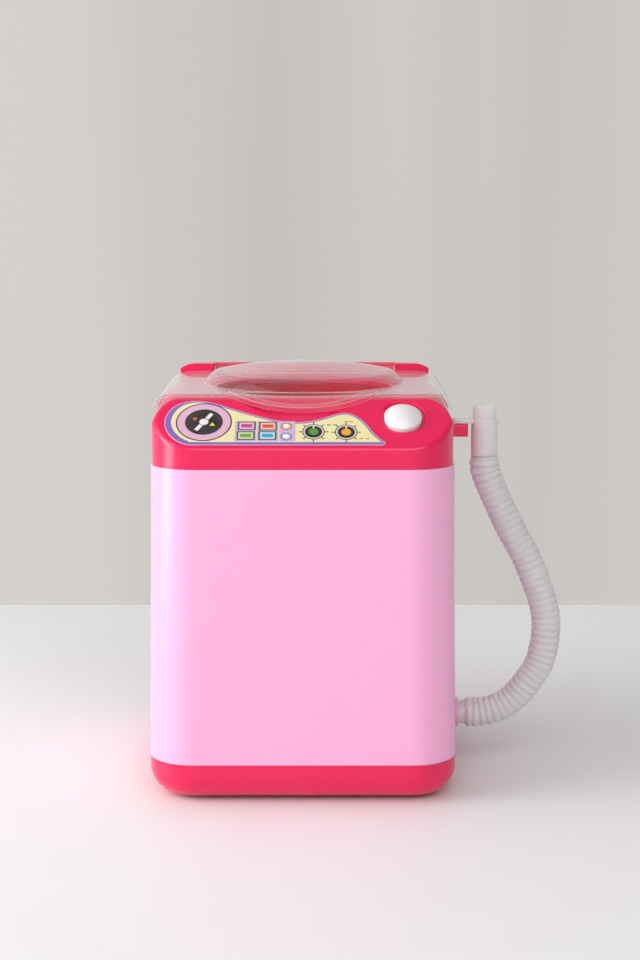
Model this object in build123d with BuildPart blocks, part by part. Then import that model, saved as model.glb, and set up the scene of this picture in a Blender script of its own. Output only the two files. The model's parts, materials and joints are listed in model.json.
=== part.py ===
from build123d import *
import os
from math import atan2, cos, degrees, hypot, pi, radians, sin, sqrt, tan

# Brush cleaner shaped like a top-loading washing machine. Millimetres.
# Origin: centre of the footprint on the table. +X is the hose side, +Y the back, +Z up.

# ---------------------------------------------------------------- driving dimensions
wall = 2.0
gap = 0.1                       # clearance between parts that only sit next to each other
run = 0.05                      # radial running clearance

foot_z = 1.0                    # the feet lift the base this far off the table
base_top = 13.8
body_top = 112.0
base_side = 102.6               # plan size of the base and of the body's lower end
body_side = 99.8                # plan size of the body's upper end
cover_side = 99.0               # plan size of the top cover
corner_r = 15.0
base_edge_r = 9.0

crease_z = 118.9                # where the front face turns into the control panel
crest_y = -29.4                 # upper edge of the control panel
deck_z = 132.7                  # flat top of the cover, under the lid
shoulder_r = 9.0                # side shoulders of the cover
panel_edge_r = 1.8
ridge_z = 137.0
ridge_y = 44.3                  # front face of the ridge that holds the hinge
notch_half = 33.5               # half width of the hinge notch in the ridge
notch_front = 43.9
notch_back = 48.4

lid_front = -29.2
lid_back = 43.3
lid_top = 134.4
lid_t = 1.3
lid_skirt_z = 129.0
lid_shoulder_r = 6.0
lid_side = 98.8
dome_r = 35.0
dome_h = 7.0
tongue_half = 24.5
tongue_reach = 9.2
tongue_slope = 29.0             # degrees below horizontal
hinge_y = 46.2
hinge_z = 135.2
hinge_r = 1.7
hinge_pin_r = 1.1

axis_y = 7.0                    # the wash axis, also the dome's centre
tub_r = 30.3
tub_wall = 1.5
tub_floor = 64.0                # upper face of the tub floor
ear_low = 122.8                 # underside of the ears that screw to the cover
shaft_r = 1.5

button_x = 32.8
button_up = 14.2                # distance up the panel from the crease
button_r = 6.15
dish_r = 7.3                    # shallow dish round the button
dish_up = 1.2                   # the dish sits this much higher than the button
dish_depth = 0.9
pillar_x = 9.6                  # the switch's two screw pillars, from the button's axis

peg_y = -10.0                   # the hose hangs in this plane
spout_z = 20.0
hose_r = 5.0
hose_bore = 3.0
cuff_x = 61.9
cuff_top = 128.2
cuff_low = 110.9                # the cuff starts here, on the end of the hose
cuff_r = 4.5
cuff_tip_r = 4.0                # above the tab
tab_z = 122.1                   # underside of the tab that rests on the peg
tab_end = 51.2

gear_module = 0.5
pressure = radians(25)
big_teeth = 36
small_teeth = 12
pinion_teeth = 10

cell_r = 7.1
cell_len = 49.3
cell_z = 10.5
cell_y = 7.4

# ---------------------------------------------------------------- worked-out places
cover_front = -cover_side / 2
panel_len = hypot(crest_y - cover_front, deck_z - crease_z)
panel_tilt = atan2(deck_z - crease_z, crest_y - cover_front)
panel_plane = Plane(
    origin=(0, cover_front, crease_z),
    x_dir=(1, 0, 0),
    z_dir=(0, -sin(panel_tilt), cos(panel_tilt)),
)
button_plane = Plane(
    origin=panel_plane.from_local_coords((button_x, button_up, 0)),
    x_dir=(1, 0, 0),
    z_dir=panel_plane.z_dir,
)
stage_1 = gear_module * (big_teeth + pinion_teeth) / 2
stage_2 = gear_module * (big_teeth + small_teeth) / 2
output_xy = (0, axis_y)
idler_xy = (-stage_2, axis_y)
motor_xy = (-stage_2 - stage_1, axis_y)
corner_screw = 38.0             # case screws through the base, from the centre lines
cover_screw = 40.5              # case screws into the cover
gear_low = 49.2                 # lower gear layer, idler wheel and motor pinion
gear_high = 52.7                # upper gear layer, idler pinion and output gear
gear_w = 3.0
gearbox_floor = 46.6
gearbox_roof = 59.0
motor_top = 46.5
motor_len = 21.5
ear_points = [(-24, axis_y - 16), (7, axis_y - 16), (-24, axis_y + 16), (7, axis_y + 16)]
tub_ears = [(27, axis_y - 27), (27, axis_y + 27), (-27, axis_y - 27), (-27, axis_y + 27)]
drain_xy = (16, -12)
spout_x = base_side / 2 + 0.1


def rounded_prism(side, radius, low, high):
    """A square prism with round vertical corners, centred on the origin."""
    with BuildPart() as prism:
        with BuildSketch(Plane.XY.offset(low)):
            RectangleRounded(side, side, radius)
        extrude(amount=high - low)
    return prism.part


def corner_reach(side):
    """Distance from the centre, along a diagonal, to the middle of the wall of a casing."""
    return sqrt(2) * (side / 2 - corner_r) + corner_r - wall / 2


def gear_points(teeth, thinning=0.05):
    """Involute outline of a spur gear, tooth 0 centred on +X."""
    pitch_r = gear_module * teeth / 2
    base_r = pitch_r * cos(pressure)
    tip_r = pitch_r + 0.9 * gear_module
    root_r = pitch_r - 1.2 * gear_module
    involute = tan(pressure) - pressure
    half = pi / (2 * teeth) - thinning / pitch_r / 2
    flank = []
    for step in range(5):
        r = max(base_r, root_r) + (tip_r - max(base_r, root_r)) * step / 4
        roll = sqrt(max((r / base_r) ** 2 - 1, 0))
        flank.append((r, half + involute - (roll - atan2(roll, 1))))
    if root_r < base_r:
        flank.insert(0, (root_r, flank[0][1]))
    points = []
    for tooth in range(teeth):
        centre = 2 * pi * tooth / teeth
        for r, a in flank:
            points.append((r * cos(centre - a), r * sin(centre - a)))
        for r, a in reversed(flank):
            points.append((r * cos(centre + a), r * sin(centre + a)))
    return points


def save(piece, name):
    piece.part.label = name
    export_step(piece.part, f"parts/{name}.step")


os.makedirs("parts", exist_ok=True)

# ---------------------------------------------------------------- base tray
door_x = 64.0
door_y = 37.0
tab_y = 22.5                    # the battery door's screw tab
tab_size = 9.0
feet_points = GridLocations(62, 74, 2, 2)
foot_r = 3.5

with BuildPart() as base_tray:
    add(rounded_prism(base_side, corner_r, foot_z, base_top))
    fillet(base_tray.faces().sort_by(Axis.Z)[0].edges(), base_edge_r)
    offset(amount=-wall, openings=base_tray.faces().sort_by(Axis.Z)[-1])
    # screw towers in the corners, and a pad that carries the battery door's screw
    with BuildSketch(Plane.XY.offset(foot_z + 0.4)):
        with GridLocations(2 * corner_screw, 2 * corner_screw, 2, 2):
            Circle(3.8)
    extrude(amount=base_top - foot_z - 0.5)
    with BuildSketch(Plane.XY.offset(foot_z + 0.5)):
        with Locations((0, tab_y)):
            Rectangle(tab_size + 4, tab_size + 3)
    extrude(amount=10)
    with BuildSketch(Plane.XY.offset(foot_z)):
        with GridLocations(2 * corner_screw, 2 * corner_screw, 2, 2):
            Circle(2.8)
    extrude(amount=7, mode=Mode.SUBTRACT)
    with BuildSketch(Plane.XY.offset(foot_z)):
        with GridLocations(2 * corner_screw, 2 * corner_screw, 2, 2):
            Circle(1.6)
    extrude(amount=base_top, mode=Mode.SUBTRACT)
    # stepped battery opening, recess for the screw tab and its pilot hole
    with BuildSketch(Plane.XY.offset(foot_z)):
        Rectangle(door_x, door_y)
        with Locations((0, tab_y - 1)):
            Rectangle(tab_size, tab_size)
    extrude(amount=1, mode=Mode.SUBTRACT)
    with BuildSketch(Plane.XY.offset(foot_z)):
        Rectangle(door_x - 4, door_y - 4)
    extrude(amount=wall, mode=Mode.SUBTRACT)
    with BuildSketch(Plane.XY.offset(foot_z)):
        with Locations((0, tab_y)):
            Rectangle(tab_size, tab_size - 2)
    extrude(amount=wall, mode=Mode.SUBTRACT)
    with BuildSketch(Plane.XY.offset(foot_z)):
        with Locations((0, tab_y)):
            Circle(1.15)
    extrude(amount=8, mode=Mode.SUBTRACT)
    # shallow seats for the feet
    with BuildSketch(Plane.XY.offset(foot_z)):
        with feet_points:
            Circle(foot_r + gap)
    extrude(amount=0.6, mode=Mode.SUBTRACT)
save(base_tray, "base_tray")

with BuildPart() as rubber_feet:
    with BuildSketch(Plane.XY):
        with feet_points:
            Circle(foot_r)
    extrude(amount=foot_z + 0.55)
    fillet(rubber_feet.faces().group_by(Axis.Z)[0].edges(), 0.3)
save(rubber_feet, "rubber_feet")

# ---------------------------------------------------------------- battery compartment
box_in_x = 58.5
box_in_y = 30.0
box_wall = 1.5
box_roof = 18.2
box_low = foot_z + wall + 0.02
contact_x = box_in_x / 2 - 0.25
nub_len = 1.1                   # positive nub of a cell

with BuildPart() as battery_box:
    with BuildSketch(Plane.XY.offset(box_low)):
        RectangleRounded(box_in_x + 2 * box_wall, box_in_y + 2 * box_wall, 1.5)
    extrude(amount=box_roof + box_wall - box_low)
    with BuildSketch(Plane.XY.offset(box_low)):
        Rectangle(box_in_x, box_in_y)
    extrude(amount=box_roof - box_low, mode=Mode.SUBTRACT)
    # two cable slots through the roof
    with BuildSketch(Plane.XY.offset(box_roof)):
        with GridLocations(50, 16, 2, 2):
            SlotOverall(3, 1.6)
    extrude(amount=box_wall, mode=Mode.SUBTRACT)
save(battery_box, "battery_box")

with BuildPart() as battery_cells:
    for side in (1, -1):
        negative_end = Plane(origin=(-side * cell_len / 2, side * cell_y, cell_z), z_dir=(side, 0, 0))
        with BuildSketch(negative_end):
            Circle(cell_r)
        extrude(amount=cell_len)
        with BuildSketch(negative_end.offset(cell_len)):
            Circle(2.7)
        extrude(amount=nub_len)
    fillet(battery_cells.edges().filter_by(GeomType.CIRCLE).filter_by(lambda e: e.radius > 5), 0.6)
save(battery_cells, "battery_cells")

with BuildPart() as battery_contacts:
    for side in (1, -1):
        plate_x = side * contact_x
        with Locations((plate_x, side * cell_y, cell_z), (-plate_x, side * cell_y, cell_z)):
            Box(0.4, 11, 11)
        # a solid bump meets the positive nub, a coil spring presses on the negative end
        bump = contact_x - cell_len / 2 - nub_len - 0.25
        with Locations((plate_x - side * (0.2 + bump / 2), side * cell_y, cell_z)):
            Cylinder(2.2, bump, rotation=(0, 90, 0))
        coil_len = contact_x - cell_len / 2 - 0.9
        coil_start = (-plate_x + side * 0.5, side * cell_y, cell_z)
        with BuildLine() as coil:
            Helix(coil_len / 3, coil_len, 3.2, center=coil_start, direction=(side, 0, 0))
        with BuildSketch(Plane(origin=coil.line @ 0, z_dir=coil.line % 0)):
            Circle(0.3)
        sweep(path=coil.line)
save(battery_contacts, "battery_contacts")

with BuildPart() as battery_door:
    with BuildSketch(Plane.XY.offset(foot_z + 0.05)):
        Rectangle(door_x - 0.4, door_y - 0.4)
        with Locations((0, tab_y - 1)):
            Rectangle(tab_size - 0.4, tab_size - 0.4)
    extrude(amount=0.9)
    with BuildSketch(Plane.XY.offset(foot_z + 0.05)):
        Rectangle(door_x - 4.4, door_y - 4.4)
    extrude(amount=wall - 0.1)
    with BuildSketch(Plane.XY.offset(foot_z + 0.05)):
        with Locations((0, tab_y)):
            Rectangle(tab_size - 0.4, tab_size - 2.4)
    extrude(amount=wall - 0.1)
    with BuildSketch(Plane.XY.offset(foot_z + 0.05)):
        with Locations((0, tab_y)):
            Circle(2.3)
    extrude(amount=0.9, mode=Mode.SUBTRACT)
    with BuildSketch(Plane.XY.offset(foot_z + 0.05)):
        with Locations((0, tab_y)):
            Circle(1.2)
    extrude(amount=wall, mode=Mode.SUBTRACT)
    # finger grooves
    with BuildSketch(Plane.XY.offset(foot_z + 0.05)):
        with GridLocations(0, 2.2, 1, 4):
            SlotOverall(16, 0.9)
    extrude(amount=0.4, mode=Mode.SUBTRACT)
save(battery_door, "battery_door")

with BuildPart() as battery_door_screw:
    with BuildSketch(Plane.XY.offset(foot_z + 0.1)):
        with Locations((0, tab_y)):
            Circle(2.15)
    extrude(amount=0.8)
    with BuildSketch(Plane.XY.offset(foot_z + 0.1)):
        with Locations((0, tab_y)):
            Circle(1.1)
    extrude(amount=6.5)
    with BuildSketch(Plane.XY.offset(foot_z + 0.1)):
        with Locations((0, tab_y)):
            Rectangle(2.4, 0.5)
            Rectangle(0.5, 2.4)
    extrude(amount=0.6, mode=Mode.SUBTRACT)
save(battery_door_screw, "battery_door_screw")

# ---------------------------------------------------------------- body shell
with BuildPart() as body_shell:
    with BuildSketch(Plane.XY.offset(base_top)):
        RectangleRounded(base_side, base_side, corner_r)
    with BuildSketch(Plane.XY.offset(body_top)):
        RectangleRounded(body_side, body_side, corner_r)
    loft()
    with BuildSketch(Plane.XY.offset(base_top)):
        RectangleRounded(base_side - 2 * wall, base_side - 2 * wall, corner_r - wall)
    with BuildSketch(Plane.XY.offset(body_top)):
        RectangleRounded(body_side - 2 * wall, body_side - 2 * wall, corner_r - wall)
    loft(mode=Mode.SUBTRACT)
    # posts over the base screws and gussets under the cover screws, joined to the corners
    for low, high, side, reach in (
        (base_top + gap, 26, base_side, corner_screw),
        (104, 108, body_side, cover_screw),
    ):
        with BuildSketch(Plane.XY.offset(low)):
            with GridLocations(2 * reach, 2 * reach, 2, 2):
                Circle(3.6)
            with PolarLocations(corner_reach(side) - 6, 4, start_angle=45):
                Rectangle(12, 2)
        extrude(amount=high - low)
    with BuildSketch(Plane.XY.offset(base_top)):
        with GridLocations(2 * corner_screw, 2 * corner_screw, 2, 2):
            Circle(1.3)
    extrude(amount=10.5, mode=Mode.SUBTRACT)
    with BuildSketch(Plane.XY.offset(103)):
        with GridLocations(2 * cover_screw, 2 * cover_screw, 2, 2):
            Circle(1.6)
    extrude(amount=6, mode=Mode.SUBTRACT)
    # hole for the drain spout
    with BuildSketch(Plane(origin=(40, peg_y, spout_z), z_dir=(1, 0, 0))):
        Circle(4.2)
    extrude(amount=15, mode=Mode.SUBTRACT)
save(body_shell, "body_shell")

# ---------------------------------------------------------------- top cover
scoop_slope = radians(20)
scoop_floor = Plane(
    origin=(0, crest_y - 9.6, 126.1),
    x_dir=(1, 0, 0),
    z_dir=(0, -sin(scoop_slope), cos(scoop_slope)),
)


def cover_solid(inset):
    """The cover's outer form, or its inner form when inset by the wall."""
    side = cover_side - 2 * inset
    with BuildPart() as form:
        with BuildSketch(Plane.YZ):
            with BuildLine():
                lift = inset * tan((pi / 2 - panel_tilt) / 2)
                Polyline(
                    (-side / 2, body_top),
                    (-side / 2, crease_z - lift),
                    (crest_y + inset * tan(panel_tilt / 2), deck_z - inset),
                    (side / 2, deck_z - inset),
                    (side / 2, body_top),
                    close=True,
                )
            make_face()
        extrude(amount=side / 2, both=True)
        add(rounded_prism(side, corner_r - inset, body_top, deck_z + 1), mode=Mode.INTERSECT)
        with BuildSketch(Plane.XZ):
            with BuildLine():
                low = body_top
                high = deck_z - inset
                bend = shoulder_r - inset
                Line((-side / 2, low), (side / 2, low))
                Line((side / 2, low), (side / 2, high - bend))
                CenterArc((side / 2 - bend, high - bend), bend, 0, 90)
                Line((side / 2 - bend, high), (-side / 2 + bend, high))
                CenterArc((-side / 2 + bend, high - bend), bend, 90, 90)
                Line((-side / 2, high - bend), (-side / 2, low))
            make_face()
        extrude(amount=side, both=True, mode=Mode.INTERSECT)
    return form.part


with BuildPart() as ridge:
    with BuildSketch(Plane.XZ.offset(-cover_side / 2)):
        with BuildLine():
            bend = shoulder_r
            half = cover_side / 2
            Line((-half, body_top + 10), (half, body_top + 10))
            Line((half, body_top + 10), (half, ridge_z - bend))
            CenterArc((half - bend, ridge_z - bend), bend, 0, 90)
            Line((half - bend, ridge_z), (-half + bend, ridge_z))
            CenterArc((-half + bend, ridge_z - bend), bend, 90, 90)
            Line((-half, ridge_z - bend), (-half, body_top + 10))
        make_face()
    extrude(amount=cover_side / 2 - ridge_y)
    add(rounded_prism(cover_side, corner_r, body_top, ridge_z + 1), mode=Mode.INTERSECT)

with BuildPart() as scoop:
    with BuildSketch(panel_plane):
        with BuildLine():
            left = (-24.5, panel_len)
            right = (21.5, panel_len)
            Spline(left, (-14.5, 18.4), (-7, 14.3), (-1, 12.8), (6, 14.5), (12.5, 18.0), right)
            Polyline(right, (right[0], panel_len + 9), (left[0], panel_len + 9), left)
        make_face()
    extrude(amount=8, both=True)
    split(bisect_by=scoop_floor, keep=Keep.TOP)
    with BuildSketch(Plane.XY.offset(110)):
        with Locations((0, crest_y - 21.6)):
            Rectangle(70, 40)
    extrude(amount=40, mode=Mode.INTERSECT)

with BuildPart() as lid_room:
    add(rounded_prism(cover_side + 2, corner_r, lid_skirt_z - 0.2, ridge_z + 1))
    # two steps keep clear of the lid's side walls and of its rounded inner corners
    for inset, top in ((lid_t + 0.3, lid_skirt_z + 1.7), (lid_t + 2.2, ridge_z + 2)):
        add(
            rounded_prism(lid_side - 2 * inset, corner_r - inset, lid_skirt_z - 1, top),
            mode=Mode.SUBTRACT,
        )
    with BuildSketch(Plane.XY.offset(110)):
        with Locations((0, (crest_y + ridge_y) / 2)):
            Rectangle(2 * cover_side, ridge_y - crest_y)
    extrude(amount=40, mode=Mode.INTERSECT)

with BuildPart() as top_cover:
    add(cover_solid(0))
    # soft edge all round the control panel, up to the line under the lid
    panel_face = top_cover.faces().sort_by(Axis((0, 0, 0), panel_plane.z_dir))[-1]
    fillet(panel_face.edges().filter_by(lambda edge: edge.center().Z < deck_z - 0.1), panel_edge_r)
    # shallow dish round the start button, with a soft rim
    with BuildSketch(button_plane):
        with Locations((0, dish_up)):
            Circle(dish_r)
    extrude(amount=-dish_depth, mode=Mode.SUBTRACT)
    circles = top_cover.edges().filter_by(GeomType.CIRCLE)
    dish_edges = circles.filter_by(lambda edge: abs(edge.radius - dish_r) < 0.01)
    fillet(dish_edges.sort_by(Axis((0, 0, 0), panel_plane.z_dir))[-1], 0.6)
    add(lid_room.part, mode=Mode.SUBTRACT)
    add(ridge.part)
    add(cover_solid(wall), mode=Mode.SUBTRACT)
    # thick pad that backs the finger scoop
    with BuildSketch(Plane.YZ):
        with BuildLine():
            Polyline(
                (-42.5, 122.8), (-42.5, 123.4), (crest_y, 132.4), (-27.8, 132.4), (-27.8, 127.2),
                close=True,
            )
        make_face()
    extrude(amount=27, both=True)
    # screw bosses: corners for the case screws, inner four for the tub
    with BuildSketch(Plane.XY.offset(body_top + gap)):
        with GridLocations(2 * cover_screw, 2 * cover_screw, 2, 2):
            Circle(3.4)
    extrude(amount=7)
    with BuildSketch(Plane.XY.offset(body_top + gap)):
        with PolarLocations(corner_reach(cover_side) - 3, 4, start_angle=45):
            Rectangle(6, 2)
    extrude(amount=9)
    with BuildSketch(Plane.XY.offset(125)):
        with Locations(*tub_ears):
            Circle(2.6)
    extrude(amount=6.5)
    # guide tube for the start button, two pillars for its switch
    with BuildSketch(button_plane.offset(-9)):
        Circle(8.4)
        with Locations((-pillar_x, 0), (pillar_x, 0)):
            Circle(2.2)
    extrude(amount=8)
    # peg that carries the hose's tab
    with BuildSketch(Plane(origin=(cover_side / 2 - 1, peg_y, 119.75), z_dir=(1, 0, 0))):
        RectangleRounded(4.4, 6, 0.8)
    extrude(amount=7.6)
    # openings
    add(scoop.part, mode=Mode.SUBTRACT)
    with BuildSketch(Plane.XY.offset(deck_z - wall - 1)):
        with Locations(output_xy):
            Circle(tub_r + 0.2)
    extrude(amount=wall + 2, mode=Mode.SUBTRACT)
    with BuildSketch(Plane.XY.offset(deck_z)):
        with Locations((0, (notch_front + notch_back) / 2)):
            Rectangle(2 * notch_half, notch_back - notch_front)
    extrude(amount=6, mode=Mode.SUBTRACT)
    with BuildSketch(Plane(origin=(-notch_half - 3.2, hinge_y, hinge_z), z_dir=(1, 0, 0))):
        Circle(hinge_pin_r + 0.08)
    extrude(amount=2 * notch_half + 6.4, mode=Mode.SUBTRACT)
    with BuildSketch(button_plane.offset(-9)):
        Circle(7.1)
    extrude(amount=7, mode=Mode.SUBTRACT)
    with BuildSketch(button_plane.offset(-4)):
        Circle(button_r + 0.15)
    extrude(amount=8, mode=Mode.SUBTRACT)
    with BuildSketch(button_plane.offset(-9)):
        with Locations((-pillar_x, 0), (pillar_x, 0)):
            Circle(0.9)
    extrude(amount=5, mode=Mode.SUBTRACT)
    with BuildSketch(Plane.XY.offset(125)):
        with Locations(*tub_ears):
            Circle(1.0)
    extrude(amount=5, mode=Mode.SUBTRACT)
    with BuildSketch(Plane.XY.offset(body_top)):
        with GridLocations(2 * cover_screw, 2 * cover_screw, 2, 2):
            Circle(1.3)
    extrude(amount=5, mode=Mode.SUBTRACT)
save(top_cover, "top_cover")

# ---------------------------------------------------------------- lid
crown_r = 31.0                  # the dome's crown ends here and its steep rim begins
crown_h = 3.9                   # height of the rim's top edge over the lid
rim_bend = 9.0                  # curvature of the steep rim
tongue_t = 1.2
tongue_band = 1.8               # width of the raised edge of the tongue
skirt_relief = 2.4              # height cut off the back of the lid's skirt


def dome_section(inset):
    """Half section of the dome in its own plane: radius across, height up."""
    top = lid_top + dome_h - inset
    shoulder = (crown_r - inset / 2, lid_top + crown_h - inset)
    foot = (dome_r - inset, lid_top - lid_t)
    crown = (0.55 * shoulder[0], shoulder[1] + 0.7 * (top - shoulder[1]))
    with BuildLine() as section:
        ThreePointArc((0, top), crown, shoulder)
        RadiusArc(shoulder, foot, rim_bend)
        Polyline(foot, (0, foot[1]), (0, top))
    return section.line


def tongue_outline(inset):
    """The tongue's crescent: a shallow arc below a straight root, y runs down the slope."""
    half = tongue_half - 2.5 * inset
    with BuildLine() as outline:
        ThreePointArc((-half, 0), (0, -tongue_reach + inset), (half, 0))
        Polyline((half, 0), (half, 0.4), (-half, 0.4), (-half, 0))
    return outline.line


tongue_plane = Plane(
    origin=(0, lid_front, lid_top),
    x_dir=(1, 0, 0),
    z_dir=(0, -sin(radians(tongue_slope)), cos(radians(tongue_slope))),
)
dome_axis = Axis((0, axis_y, 0), (0, 0, 1))
dome_plane = Plane(origin=(0, axis_y, 0), x_dir=(1, 0, 0), z_dir=(0, -1, 0))

with BuildPart() as lid:
    with BuildSketch(Plane.XY.offset(lid_skirt_z)):
        RectangleRounded(lid_side, lid_side, corner_r)
        with Locations((0, (lid_front + lid_back) / 2)):
            Rectangle(lid_side, lid_back - lid_front, mode=Mode.INTERSECT)
    extrude(amount=lid_top - lid_skirt_z)
    top_edges = lid.faces().sort_by(Axis.Z)[-1].edges()
    fillet(top_edges.filter_by(lambda edge: abs(edge.center().X) > 30), lid_shoulder_r - 1)
    offset(
        amount=-lid_t,
        openings=[
            lid.faces().sort_by(Axis.Z)[0],
            lid.faces().sort_by(Axis.Y)[0],
            lid.faces().sort_by(Axis.Y)[-1],
        ],
    )
    # domed window
    with BuildSketch(dome_plane):
        add(dome_section(0))
        make_face()
    revolve(axis=dome_axis)
    with BuildSketch(dome_plane):
        add(dome_section(lid_t))
        make_face()
    revolve(axis=dome_axis, mode=Mode.SUBTRACT)
    # finger tongue with a raised edge
    with BuildSketch(tongue_plane):
        add(tongue_outline(0))
        make_face()
    extrude(amount=-tongue_t)
    with BuildSketch(tongue_plane):
        add(tongue_outline(0))
        make_face()
        add(make_face(tongue_outline(tongue_band), mode=Mode.PRIVATE), mode=Mode.SUBTRACT)
    extrude(amount=0.8)
    # the skirt's back corners are cut short, so that they swing clear of the cover
    with BuildSketch(Plane.YZ):
        with BuildLine():
            Polyline(
                (lid_back - 8, lid_skirt_z - 1),
                (lid_back - 6, lid_skirt_z + skirt_relief),
                (lid_back + 1, lid_skirt_z + skirt_relief),
                (lid_back + 1, lid_skirt_z - 1),
                close=True,
            )
        make_face()
    extrude(amount=lid_side, both=True, mode=Mode.SUBTRACT)
    # web and barrel of the hinge, with a stub pin at each end
    with BuildSketch(Plane.YZ.offset(-notch_half + 0.3)):
        with BuildLine():
            Polyline(
                (lid_back - 0.5, lid_top - lid_t),
                (hinge_y, lid_top - lid_t),
                (hinge_y, hinge_z),
                (lid_back - 0.5, lid_top),
                close=True,
            )
        make_face()
        with Locations((hinge_y, hinge_z)):
            Circle(hinge_r)
    extrude(amount=2 * notch_half - 0.6)
    with BuildSketch(Plane.YZ.offset(-notch_half - 2.8)):
        with Locations((hinge_y, hinge_z)):
            Circle(hinge_pin_r)
    extrude(amount=2 * notch_half + 5.6)
save(lid, "lid")

# ---------------------------------------------------------------- wash tub
tub_top = deck_z - wall - 0.15
rib_count = 12

with BuildPart() as wash_tub:
    with BuildSketch(Plane.XY.offset(tub_floor - 2)):
        with Locations(output_xy):
            Circle(tub_r + tub_wall)
    extrude(amount=tub_top - tub_floor + 2)
    # ears under the cover's bosses
    with BuildSketch(Plane.XY.offset(ear_low)):
        with Locations(*tub_ears):
            Circle(3.6)
        for x, y in tub_ears:
            bearing = degrees(atan2(y - axis_y, x))
            with Locations(Location((0.87 * x, axis_y + 0.87 * (y - axis_y)), bearing)):
                Rectangle(9, 7.2)
    extrude(amount=2)
    with BuildSketch(Plane.XY.offset(tub_floor)):
        with Locations(output_xy):
            Circle(tub_r)
    extrude(amount=tub_top, mode=Mode.SUBTRACT)
    # wash ribs on the inner wall
    with BuildSketch(Plane.XY.offset(tub_floor + 8)):
        with Locations(output_xy):
            with PolarLocations(tub_r, rib_count):
                Circle(1.3)
    extrude(amount=tub_top - tub_floor - 14)
    # hub for the shaft, drain spigot, and bosses for the gearbox screws
    with BuildSketch(Plane.XY.offset(tub_floor - 3.5)):
        with Locations(output_xy):
            Circle(6)
        with Locations(drain_xy):
            Circle(4.2)
    extrude(amount=5)
    with BuildSketch(Plane.XY.offset(tub_floor - 6)):
        with Locations(drain_xy):
            Circle(4.2)
    extrude(amount=5)
    with BuildSketch(Plane.XY.offset(gearbox_roof + gap)):
        with Locations(*ear_points):
            Circle(2.8)
    extrude(amount=tub_floor - 1 - gearbox_roof)
    with BuildSketch(Plane.XY.offset(gearbox_roof)):
        with Locations(*ear_points):
            Circle(1.0)
    extrude(amount=4, mode=Mode.SUBTRACT)
    with BuildSketch(Plane.XY.offset(tub_floor - 4)):
        with Locations(output_xy):
            Circle(3.02)
    extrude(amount=8, mode=Mode.SUBTRACT)
    with BuildSketch(Plane.XY.offset(tub_floor - 7)):
        with Locations(drain_xy):
            Circle(3.05)
    extrude(amount=5, mode=Mode.SUBTRACT)
    with BuildSketch(Plane.XY.offset(tub_floor - 7)):
        with Locations(drain_xy):
            Circle(2.2)
    extrude(amount=10, mode=Mode.SUBTRACT)
    with BuildSketch(Plane.XY.offset(ear_low - 0.8)):
        with Locations(*tub_ears):
            Circle(1.4)
    extrude(amount=4, mode=Mode.SUBTRACT)
save(wash_tub, "wash_tub")


def screws(points, head_z, length, head_r, shank_r, head_t):
    """Pan-head screws pointing up, heads below, each with a cross recess."""
    with BuildPart() as group:
        with BuildSketch(Plane.XY.offset(head_z)):
            with Locations(*points):
                Circle(head_r)
        extrude(amount=head_t)
        with BuildSketch(Plane.XY.offset(head_z)):
            with Locations(*points):
                Circle(shank_r)
        extrude(amount=length)
        with BuildSketch(Plane.XY.offset(head_z)):
            with Locations(*points):
                Rectangle(1.4 * head_r, 0.5)
                Rectangle(0.5, 1.4 * head_r)
        extrude(amount=0.55 * head_t, mode=Mode.SUBTRACT)
    return group.part


base_corners = [(x * corner_screw, y * corner_screw) for x in (-1, 1) for y in (-1, 1)]
cover_corners = [(x * cover_screw, y * cover_screw) for x in (-1, 1) for y in (-1, 1)]

with BuildPart() as case_screws:
    add(screws(base_corners, foot_z + 5.5, 15, 2.5, 1.25, 1.4))
    add(screws(cover_corners, 102.5, 13, 2.5, 1.25, 1.4))
save(case_screws, "case_screws")

with BuildPart() as tub_screws:
    add(screws(tub_ears, ear_low - 1.5, 8.2, 2.2, 0.95, 1.4))
save(tub_screws, "tub_screws")

with BuildPart() as gearbox_screws:
    add(screws(ear_points, gearbox_floor - 1.5, 17.2, 2.0, 0.95, 1.4))
save(gearbox_screws, "gearbox_screws")

# ---------------------------------------------------------------- pulsator and its shaft
vane_count = 6
disc_r = 26.0
disc_low = tub_floor + 2.2

with BuildPart() as pulsator:
    with BuildSketch(Plane.XY.offset(disc_low)):
        with Locations(output_xy):
            Circle(disc_r)
    extrude(amount=2)
    fillet(pulsator.faces().sort_by(Axis.Z)[-1].edges(), 1.2)
    with BuildSketch(Plane.XY.offset(disc_low + 1)):
        with Locations(output_xy):
            with PolarLocations(disc_r / 2 - 0.5, vane_count):
                SlotOverall(disc_r - 4, 3.4)
    extrude(amount=6.5)
    with BuildSketch(Plane.XY.offset(disc_low)):
        with Locations(output_xy):
            Circle(6.5)
    extrude(amount=11, taper=6)
    with BuildSketch(Plane.XY.offset(disc_low)):
        with Locations(output_xy):
            Circle(shaft_r + 0.01)
    extrude(amount=8, mode=Mode.SUBTRACT)
    with BuildSketch(Plane.XY.offset(disc_low)):
        with Locations(output_xy):
            Circle(1.0)
    extrude(amount=20, mode=Mode.SUBTRACT)
    with BuildSketch(Plane.XY.offset(disc_low + 9.5)):
        with Locations(output_xy):
            Circle(2.5)
    extrude(amount=5, mode=Mode.SUBTRACT)
save(pulsator, "pulsator")

with BuildPart() as drive_shaft:
    with BuildSketch(Plane.XY.offset(gearbox_floor - 1.6)):
        with Locations(output_xy):
            Circle(shaft_r)
    extrude(amount=disc_low + 7.9 - gearbox_floor + 1.6)
    with BuildSketch(Plane.XY.offset(disc_low + 1)):
        with Locations(output_xy):
            Circle(0.92)
    extrude(amount=10, mode=Mode.SUBTRACT)
save(drive_shaft, "drive_shaft")

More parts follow.
